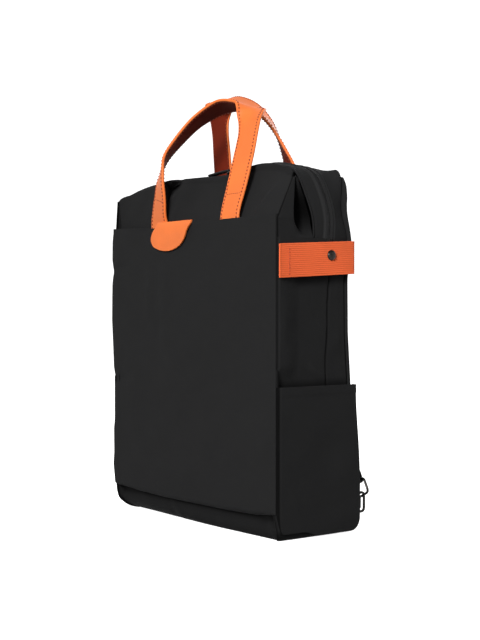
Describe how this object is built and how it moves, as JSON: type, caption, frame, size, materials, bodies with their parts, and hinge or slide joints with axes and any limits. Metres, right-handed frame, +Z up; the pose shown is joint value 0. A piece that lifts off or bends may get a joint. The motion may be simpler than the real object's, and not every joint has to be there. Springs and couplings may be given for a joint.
{
  "type": "laptop backpack",
  "caption": "Upright laptop backpack of tote form with a zipped top, a full-width front pocket, side pockets, leather carrying handles and shoulder straps on the back.",
  "frame": {"origin": "on the floor, under the middle of the base panel", "axes": "+Z up; +Y from the front pocket towards the back; +X from the left side to the right side, seen from the front"},
  "size_m": [0.3532, 0.1417, 0.5303],
  "materials": {
    "cloth": "matte black woven canvas",
    "tape": "black woven tape",
    "webbing": "coral-orange ribbed webbing",
    "leather": "satin burnt-orange leather, edge stitched",
    "metal": "dark gunmetal plating"
  },
  "bodies": {
    "root": {"front_panel": "cloth", "back_panel": "cloth", "side_panel_right": "cloth", "side_panel_left": "cloth", "base_panel": "cloth", "zip_strip_front": "cloth", "zip_tape": "tape", "zip_strip_back": "cloth", "zip_slider": "metal", "zip_pull": "tape", "front_pocket": "cloth", "pocket_tab": "leather", "handle_front": "leather", "handle_back": "leather", "side_pocket_right": "cloth", "side_pocket_left": "cloth", "side_strap_right": "webbing", "side_strap_left": "webbing", "snap_stud_right": "metal", "snap_stud_left": "metal", "shoulder_strap_right": "cloth", "shoulder_strap_left": "cloth", "strap_hook_right": "metal", "strap_hook_left": "metal", "corner_ring_right": "metal", "corner_ring_left": "metal", "ring_tab_right": "tape", "ring_tab_left": "tape"}
  },
  "joints": []
}
